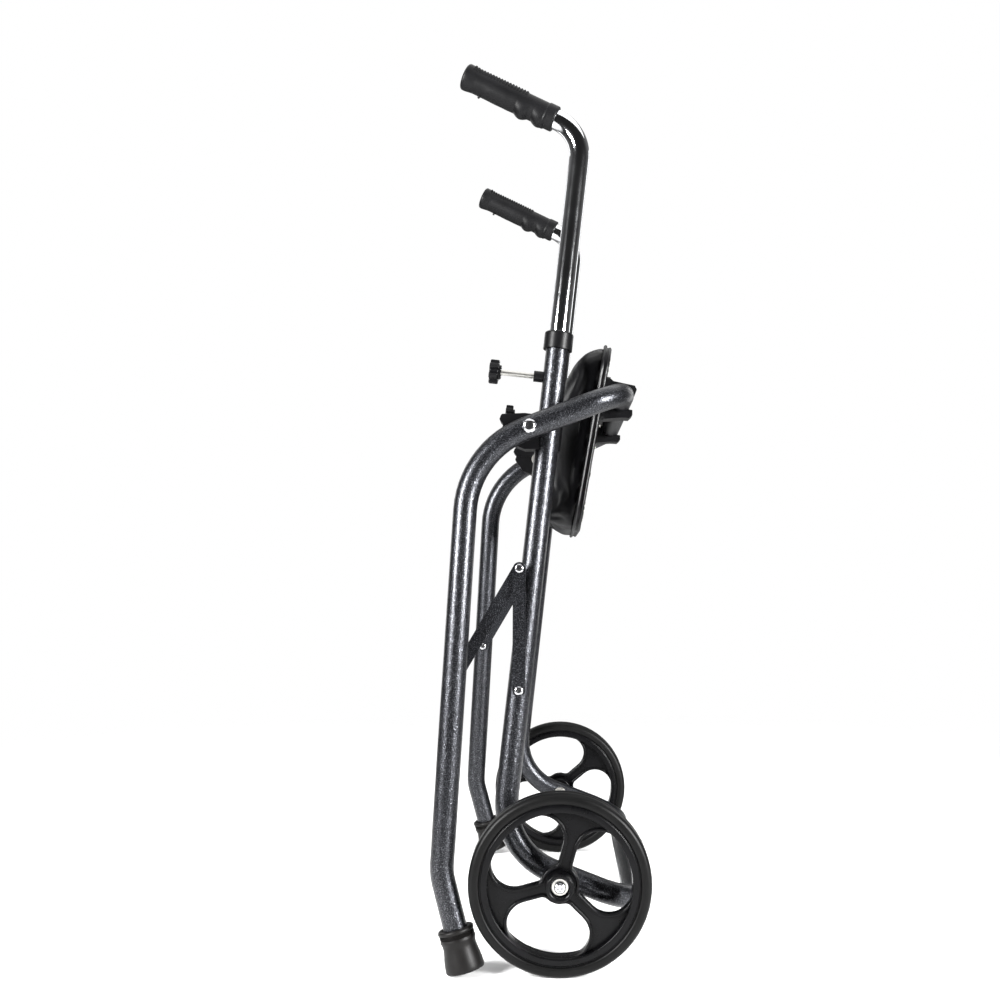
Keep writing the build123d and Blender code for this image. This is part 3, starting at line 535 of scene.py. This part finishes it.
def makeTip(name):
    mount = mounts[f"{name}_sole"]
    place = alongAxis(mount["pos_m"], -Vector(mount["axis"]), (1, 0, 0))
    bottom, top, bore, length = tip["bottom"], tip["top"], tip["bore"], tip["length"]
    # tread rings under the sole, then the wall
    profile = [
        (0.5, 0.6), (4, 0.6), (4.5, 0), (7, 0), (7.5, 0.8), (9.5, 0.8), (10, 0), (13, 0), (13.5, 0.8),
        (15.5, 0.8), (16, 0), (bottom - 1.6, 0), (bottom - 0.5, 0.4), (bottom, 1.6), (bottom - 0.1, 5),
    ]
    profile += [(bottom - 0.3 - (bottom - top + 0.2) * smoothStep(z, 6, 27), z) for z in range(7, 29, 2)]
    profile += [(top + 0.05, 30), (top + 0.7, 32), (top + 0.75, 33), (top + 0.1, 34.6)]
    for k in range(tip["wrinkles"] * 4):
        profile.append((top + 0.05 + tip["wrinkleDepth"] * sin(k * pi / 2) ** 2, 35 + k * 0.28))
    profile += [
        (top, 39.6), (top + 0.85, 40.2), (top + 1.0, 41.5), (top + 0.8, 43), (top - 0.2, length),
        (bore + 1.2, length), (bore, length - 0.9), (bore, tip["floor"]),
    ]
    piece = meshPiece(f"{name}_foot_rubber", *lathe([(r * mm, z * mm) for r, z in profile], 96), place)
    finishPiece(piece, "rear_frame", "tip_rubber", [f"{name}_rubber_tip"], 55)


for name in sides:
    makeTip(name)
print("tips made")


# star knobs of the side clamps
knob = {
    "thickness": 13.0, "neck": 7.8, "neckLength": 2.5,
    "core": 8.6, "lobe": 4.6, "lobes": 6, "round": 1.5, "bore": 3.05,
}


def makeKnob(name):
    joint = joints[f"{name}_knob_turn"]
    axis = Vector(joint["axis"])
    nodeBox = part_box(f"{name}_star_knob")
    middle = (nodeBox[0] + nodeBox[1]) / 2
    start = middle - axis * knob["thickness"] / 2 * mm
    place = alongAxis(start, axis, (0, 0, 1))
    around = 144
    thick, neck = knob["thickness"], knob["neckLength"]
    edge = knob["round"]
    rows = [
        ("ring", knob["bore"], 6.0), ("ring", knob["bore"], 0.0), ("ring", knob["neck"] - 0.6, 0.0),
        ("ring", knob["neck"], 0.6), ("ring", knob["neck"], neck),
    ]
    for k in range(6):
        a = pi / 2 * k / 5
        rows.append(("lobes", edge * (1 - sin(a)), neck + edge * (1 - cos(a))))
    for k in range(6):
        a = pi / 2 * k / 5
        rows.append(("lobes", edge * (1 - cos(a)), thick - edge - 0.4 + edge * sin(a)))
    rows += [
        ("lobes", 4.2, thick - 0.5), ("ring", 7.2, thick - 0.6), ("ring", 6.6, thick - 1.3),
        ("ring", 4.4, thick - 1.4), ("ring", 4.0, thick - 0.4), ("ring", 3.2, thick), ("ring", 0.4, thick),
    ]
    verts = []
    for kind, size, z in rows:
        for a in range(around):
            turn = 2 * pi * a / around
            if kind == "ring":
                r = size
            else:
                wave = 0.5 + 0.5 * cos(knob["lobes"] * turn)
                r = knob["core"] + knob["lobe"] * smoothStep(wave, 0.05, 0.8) - size
            verts.append((r * cos(turn) * mm, r * sin(turn) * mm, z * mm))
    faces = ringFaces(len(rows), around)
    faces.append(tuple((len(rows) - 1) * around + a for a in range(around)))
    piece = meshPiece(f"{name}_knob_moulding", verts, faces, place)
    finishPiece(piece, f"{name}_star_knob", "moulded_black", [f"{name}_star_knob"], 40)


for name in sides:
    makeKnob(name)
print("knobs made")


# padded seat with a welt round its base
seat = {
    "lean": 9.95, "corner": 32.0, "shrink": 3.0, "voxel": 5.0, "limit": 9.0,
    "pressure": 4.0, "frames": 20, "welt": 2.1, "hem": 1.3, "fill": 0.75, "lowRoll": 0.2,
    "creaseReach": 55.0, "creaseDepth": 0.9, "foldWidth": 22.0, "foldThick": 0.9, "staple": 9.0,
}
seatAhead = Vector((cos(radians(seat["lean"])), 0, -sin(radians(seat["lean"]))))
seatUp = Vector((sin(radians(seat["lean"])), 0, cos(radians(seat["lean"]))))


def seatExtent(node):
    # lowest and highest reach of a node along the seat's own directions
    spans = []
    for direction in (seatAhead, Vector((0, 1, 0)), seatUp):
        reach = [v.co.dot(direction) for v in nodes[node].data.vertices]
        spans.append((min(reach), max(reach)))
    return spans


def seatPoint(n, y, t):
    return seatAhead * n + Vector((0, y, 0)) + seatUp * t


def edgeLoop(spanY, spanT, corner, inset, low=1.0, perCorner=10, perSide=12):
    # rounded rectangle as (y, t) points, with a smaller inset along its low edge where low is under 1
    y0, y1 = spanY[0] + inset, spanY[1] - inset
    t0, t1 = spanT[0] + inset * low, spanT[1] - inset
    r = max(corner - inset, 1 * mm)
    points = []
    corners = ((y1 - r, t1 - r, 0), (y0 + r, t1 - r, 90), (y0 + r, t0 + r, 180), (y1 - r, t0 + r, 270))
    for cy, ct, start in corners:
        for k in range(perCorner + 1):
            a = radians(start + 90 * k / perCorner)
            points.append((cy + r * cos(a), ct + r * sin(a)))
    loop = []
    for p, q in zip(points, points[1:] + points[:1]):
        far = (Vector(q) - Vector(p)).length > 40 * mm
        count = perSide if far else 1
        loop += [tuple(Vector(p).lerp(Vector(q), k / count)) for k in range(count)]
    return loop


def makeCushion():
    (n0, n1), spanY, spanT = seatExtent("seat_pad")
    corner, shrink = seat["corner"] * mm, seat["shrink"] * mm
    rows = []
    depth = n1 - n0
    # walls rise from the board, lean in a little and roll over into the crowned face
    wall = (
        (0, 0.4), (0.15, 0.3), (0.3, 1.2), (0.46, 3.6), (0.62, 8),
        (0.76, 14), (0.88, 22), (0.96, 32), (1, 46),
    )
    for share, inset in wall:
        rows.append((n1 - (depth - shrink) * share, inset * mm + shrink * min(1, share * 3)))
    verts = []
    for n, inset in rows:
        verts += [seatPoint(n, y, t) for y, t in edgeLoop(spanY, spanT, corner, inset, seat["lowRoll"])]
    around = len(verts) // len(rows)
    faces = ringFaces(len(rows), around)
    faces.append(tuple(range(around)))
    faces.append(tuple((len(rows) - 1) * around + a for a in range(around)))
    cushion = meshPiece("seat_cushion", verts, faces)
    remesh = cushion.modifiers.new("Remesh", "REMESH")
    remesh.mode = "VOXEL"
    remesh.voxel_size = seat["voxel"] * mm
    depsgraph = bpy.context.evaluated_depsgraph_get()
    mesh = bpy.data.meshes.new_from_object(cushion.evaluated_get(depsgraph))
    cushion.modifiers.clear()
    cushion.data = mesh
    swell(cushion, n1)
    # creases run out from the corners, and the base is pressed flat on the board
    centres = [
        Vector((y, t))
        for y in (spanY[0] + corner, spanY[1] - corner)
        for t in (spanT[0] + corner, spanT[1] - corner)
    ]
    for v in cushion.data.vertices:
        n, y, t = v.co.dot(seatAhead), v.co.y, v.co.dot(seatUp)
        near = min((Vector((y, t)) - centre).length for centre in centres)
        rise = noise.noise(Vector((y * 60, n * 25, t * 60)))
        fade = max(0, 1 - near / (seat["creaseReach"] * mm)) * min(1, (n1 - n) / (12 * mm))
        v.co -= seatAhead * (seat["creaseDepth"] * mm * rise * fade)
        if n > n1 - 0.4 * mm:
            v.co += seatAhead * (n1 - 0.4 * mm - n)
    cushion.modifiers.new("Subdivision", "SUBSURF").levels = 1
    cushion.modifiers["Subdivision"].render_levels = 1
    finishPiece(cushion, "seat", "seat_vinyl", ["seat_pad"], 0)
    # piping where the cover meets the board, and the folded hem on the board's far edge
    boardEnd = seatExtent("seat_board")[0][1]
    welts = (
        ("seat_piping", n1 - 0.6 * mm, seat["welt"], -0.6),
        ("seat_hem", boardEnd - 1.2 * mm, seat["hem"], 0.4),
    )
    for label, where, radius, inset in welts:
        loop = edgeLoop(spanY, spanT, corner, inset * mm)
        welt = tubeAlong(label, [seatPoint(where, y, t) for y, t in loop], radius * mm, True)
        finishPiece(welt, "seat", "seat_vinyl")
        welt.data.materials[0] = weltVinyl


def makeUnderside():
    # cover folded over the board's back and stapled down, pleated at the corners
    (n0, n1), spanY, spanT = seatExtent("seat_board")
    corner, width, thick = seat["corner"] * mm, seat["foldWidth"], seat["foldThick"]
    rows = ((0.6, -0.3), (0.6, 0.3), (1.4, thick), (width - 0.6, thick), (width, thick * 0.6), (width, -0.3))
    verts = []
    for inset, lift in rows:
        loop = edgeLoop(spanY, spanT, corner, inset * mm, perSide=40)
        for y, t in loop:
            wave = 0.25 * noise.noise(Vector((y * 45, t * 45, 0))) * (inset > 1)
            ragged = 1.6 * mm * noise.noise(Vector((y * 30, t * 30, 5))) * (inset > 2)
            toCentre = Vector((sum(spanY) / 2 - y, sum(spanT) / 2 - t)).normalized() * ragged
            verts.append(seatPoint(n1 + (lift + wave) * mm, y + toCentre.x, t + toCentre.y))
    around = len(verts) // len(rows)
    fold = meshPiece("seat_fold", verts, ringFaces(len(rows), around))
    finishPiece(fold, "seat", "seat_vinyl")
    # staples lie across the fold
    loop = edgeLoop(spanY, spanT, corner, width * 0.6 * mm, perSide=9)
    staples = []
    for y, t in loop[::2]:
        slant = radians(35 + 20 * noise.noise(Vector((y * 50, t * 50, 9))))
        reach = Vector((cos(slant), sin(slant))) * seat["staple"] / 2 * mm
        top = n1 + (thick + 0.5) * mm
        points = [(top - 0.9 * mm, -1), (top, -0.9), (top, 0.9), (top - 0.9 * mm, 1)]
        route = [seatPoint(n, y + reach.x * share, t + reach.y * share) for n, share in points]
        staples.append(tubeAlong("staple", route, 0.45 * mm))
    pieces = joinPieces("seat_staples", staples)
    finishPiece(pieces, "seat", "zinc_steel")


def swell(cushion, base):
    rest = [v.co.copy() for v in cushion.data.vertices]
    held = cushion.vertex_groups.new(name="held")
    held.add([i for i, co in enumerate(rest) if co.dot(seatAhead) > base - 4 * mm], 1.0, "REPLACE")
    cloth = cushion.modifiers.new("Cloth", "CLOTH")
    cloth.settings.quality = 5
    cloth.settings.mass = 0.25
    cloth.settings.tension_stiffness = 18
    cloth.settings.compression_stiffness = 18
    cloth.settings.shear_stiffness = 6
    cloth.settings.bending_stiffness = 1.5
    cloth.settings.use_pressure = True
    cloth.settings.uniform_pressure_force = seat["pressure"]
    cloth.settings.effector_weights.gravity = 0
    cloth.settings.vertex_group_mass = "held"
    cloth.point_cache.frame_start, cloth.point_cache.frame_end = 1, seat["frames"]
    scene = bpy.context.scene
    for step in range(1, seat["frames"] + 1):
        scene.frame_set(step)
    depsgraph = bpy.context.evaluated_depsgraph_get()
    moved = [v.co.copy() for v in cushion.evaluated_get(depsgraph).data.vertices]
    cushion.modifiers.remove(cloth)
    scene.frame_set(1)
    furthest = 0
    for v, before, after in zip(cushion.data.vertices, rest, moved):
        step = after - before
        if step.length > seat["limit"] * mm:
            step *= seat["limit"] * mm / step.length
        furthest = max(furthest, step.length)
        v.co = before + step
    print("cushion swelled by", round(furthest / mm, 1), "mm")


makeCushion()
makeUnderside()
print("seat made")


# floor, light and camera
studio = {
    "floorRadius": 1.9, "floorSolid": 0.35, "floorTone": (0.9, 0.9, 0.9), "backdrop": 1.0,
    "fill": (0.02, 0.22), "bright": (0.0, 0.93, 0.37),
    "windowPower": 120, "backPower": 6, "topPower": 75,
    "cameraX": 0.0209, "cameraBack": 1.49, "cameraHeight": 0.4307,
    "lens": 42.6, "shiftX": -0.06, "shiftY": 0.06,
}


def makeFloor():
    # pale round floor that fades into the white of the room at its edge
    radius = studio["floorRadius"]
    verts = [(0, 0, 0)] + [(x, y, 0) for x, y in circle(radius, 96)]
    faces = [(0, k, k % 96 + 1) for k in range(1, 97)]
    floor = meshPiece("studio_floor", verts, faces)
    floor.location.z = cadBox[0].z - 0.0002
    mat, tree, shader, coords = startMaterial("studio_floor", {"Specular IOR Level": 0.15})
    tone = studio["floorTone"]
    dimmer = tuple(c * 0.98 for c in tone)
    shade = ramp(tree, noiseMap(tree, coords, 3, 3), [(0.3, dimmer), (0.7, tone)])
    tree.links.new(shade, shader.inputs["Base Color"])
    tree.links.new(remap(tree, noiseMap(tree, coords, 40), 0.7, 0.85), shader.inputs["Roughness"])
    length = tree.nodes.new("ShaderNodeVectorMath")
    length.operation = "LENGTH"
    tree.links.new(coords, length.inputs[0])
    fade = tree.nodes.new("ShaderNodeMapRange")
    fade.interpolation_type = "SMOOTHSTEP"
    fade.inputs["From Min"].default_value = radius
    fade.inputs["From Max"].default_value = studio["floorSolid"]
    tree.links.new(length.outputs["Value"], fade.inputs["Value"])
    tree.links.new(fade.outputs["Result"], shader.inputs["Alpha"])
    floor.data.materials.append(mat)


def areaLight(name, place, aim, size, power, tone=(1, 1, 1)):
    light = bpy.data.lights.new(name, "AREA")
    light.shape = "RECTANGLE"
    light.size, light.size_y = size
    light.energy = power
    light.color = tone
    holder = bpy.data.objects.new(name, light)
    holder.location = place
    holder.rotation_euler = (Vector(aim) - Vector(place)).to_track_quat("-Z", "Y").to_euler()
    bpy.context.scene.collection.objects.link(holder)
    return holder


def makeStudio():
    makeFloor()
    # white room to look at, and a dimmer one to be lit by, so that the soft boxes shape the metal
    world = bpy.data.worlds.new("studio")
    bpy.context.scene.world = world
    world.use_nodes = True
    tree = world.node_tree
    background = tree.nodes["Background"]
    # the room's light is brightest behind the object and above it
    direction = tree.nodes.new("ShaderNodeTexCoord")
    slope = tree.nodes.new("ShaderNodeVectorMath")
    slope.operation = "DOT_PRODUCT"
    slope.inputs[1].default_value = studio["bright"]
    tree.links.new(direction.outputs["Generated"], slope.inputs[0])
    fill = tree.nodes.new("ShaderNodeMapRange")
    fill.interpolation_type = "SMOOTHSTEP"
    fill.inputs["From Min"].default_value = -0.3
    fill.inputs["From Max"].default_value = 1.0
    fill.inputs["To Min"].default_value, fill.inputs["To Max"].default_value = studio["fill"]
    tree.links.new(slope.outputs["Value"], fill.inputs["Value"])
    path = tree.nodes.new("ShaderNodeLightPath")
    level = tree.nodes.new("ShaderNodeMix")
    tree.links.new(path.outputs["Is Camera Ray"], level.inputs["Factor"])
    tree.links.new(fill.outputs["Result"], level.inputs["A"])
    level.inputs["B"].default_value = studio["backdrop"]
    tree.links.new(level.outputs["Result"], background.inputs["Strength"])
    background.inputs["Color"].default_value = (1, 1, 1, 1)
    areaLight("window_left", (-1.45, -1.3, 0.96), (0, 0, 0.6), (0.5, 0.84), studio["windowPower"])
    areaLight("window_right", (1.45, -1.35, 0.74), (0, 0, 0.6), (0.5, 0.7), studio["windowPower"])
    areaLight("back_left", (-1.2, 1.6, 0.9), (0, 0, 0.45), (0.5, 1.6), studio["backPower"])
    areaLight("back_right", (1.3, 1.6, 0.9), (0, 0, 0.45), (0.5, 1.6), studio["backPower"])
    areaLight("overhead", (0.1, 0.1, 3.0), (0, 0, 0), (3.6, 3.6), studio["topPower"])
    camera = bpy.data.cameras.new("camera")
    camera.lens, camera.sensor_width = studio["lens"], 36
    camera.shift_x, camera.shift_y = studio["shiftX"], studio["shiftY"]
    camera.clip_start, camera.clip_end = 0.05, 50
    holder = bpy.data.objects.new("camera", camera)
    holder.location = (studio["cameraX"], -studio["cameraBack"], studio["cameraHeight"])
    holder.rotation_euler = (pi / 2, 0, 0)
    bpy.context.scene.collection.objects.link(holder)
    bpy.context.scene.camera = holder
    bpy.context.scene.view_settings.view_transform = "Standard"


makeStudio()
print("studio made")
